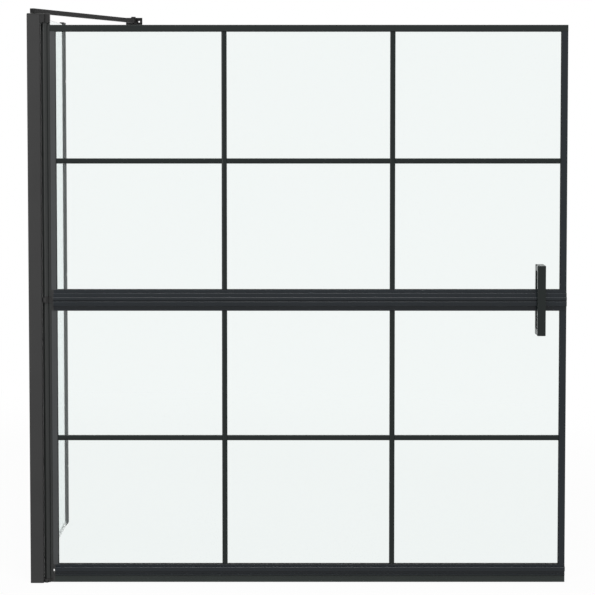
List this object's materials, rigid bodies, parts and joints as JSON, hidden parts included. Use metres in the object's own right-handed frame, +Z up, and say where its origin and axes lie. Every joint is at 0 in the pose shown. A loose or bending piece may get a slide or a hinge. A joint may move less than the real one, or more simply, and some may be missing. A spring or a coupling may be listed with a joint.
{
  "type": "shower screen",
  "caption": "Black framed bath screen: a barred glass leaf swings on a corner post, with a side pane to the wall, a top brace, ribbed rails and pull handles.",
  "frame": {"origin": "centre of the corner post's foot, on the rim of the bath", "axes": "+X along the front towards the leaf's free edge, +Y back to the wall, +Z up"},
  "size_m": [1.2232, 0.7325, 1.316],
  "materials": {
    "black_frame": "satin black powder coat",
    "black_plastic": "fine moulded grain",
    "clear_glass": "clear toughened glass",
    "black_rubber": "matte",
    "clear_seal": "clear soft strip",
    "seal_grey": "soft matte",
    "end_block_grey": "matte",
    "steel": "stainless, plain",
    "black_pin": "black oxide",
    "clear_washer": "translucent nylon"
  },
  "bodies": {
    "post_frame": {"corner_post": "black_frame", "top_bearing_cap": "black_plastic", "mid_bearing": "black_plastic", "bottom_bearing_cap": "black_plastic", "pivot_pins": "steel", "wiper_seals": "black_rubber", "side_glass": "clear_glass", "post_gasket": "black_rubber", "side_profile": "black_frame", "wall_channel": "black_frame", "wall_channel_cap": "black_plastic", "locking_screws": "steel", "side_glass_seal": "clear_seal", "brace_post_pin": "steel"},
    "brace": {"brace_bar": "black_frame", "brace_end_cap": "black_plastic", "brace_tongue": "black_plastic"},
    "bracket": {"wall_bracket": "black_frame", "bracket_pin": "black_pin"},
    "leaf": {"lower_hinge_profile": "black_frame", "upper_hinge_profile": "black_frame", "hinge_bushes": "black_plastic", "hinge_screws": "steel", "lower_left_stile": "black_frame", "upper_left_stile": "black_frame", "lower_right_stile": "black_frame", "upper_right_stile": "black_frame", "top_rail": "black_frame", "top_rail_end_plugs": "black_plastic", "mid_rail_upper": "black_frame", "mid_rail_lower": "black_frame", "mid_rail_end_caps": "black_frame", "bottom_rail": "black_frame", "bottom_rail_end_caps": "black_frame", "stile_screws": "steel", "bottom_seal": "seal_grey", "seal_end_block": "end_block_grey", "lower_glass": "clear_glass", "upper_glass": "clear_glass", "lower_gaskets": "black_rubber", "upper_gaskets": "black_rubber", "lower_vertical_bars": "black_frame", "upper_vertical_bars": "black_frame", "lower_cross_bars": "black_frame", "upper_cross_bars": "black_frame", "outer_handle": "black_frame", "inner_handle": "black_frame", "handle_studs": "steel", "handle_washers": "clear_washer"}
  },
  "joints": [
    {"name": "door_swing", "type": "hinge", "parent": "post_frame", "child": "leaf", "pos_m": [0.0235, 0, 0], "axis": [0, 0, -1], "range_deg": [-35, 90]},
    {"name": "brace_swivel", "type": "hinge", "parent": "post_frame", "child": "brace", "pos_m": [0, -0.007, 0], "axis": [0, 0, 1], "range_deg": [-30, 8]},
    {"name": "bracket_swivel", "type": "hinge", "parent": "brace", "child": "bracket", "pos_m": [0.173, 0.679, 0], "axis": [0, 0, 1], "range_deg": [-45, 45]}
  ]
}
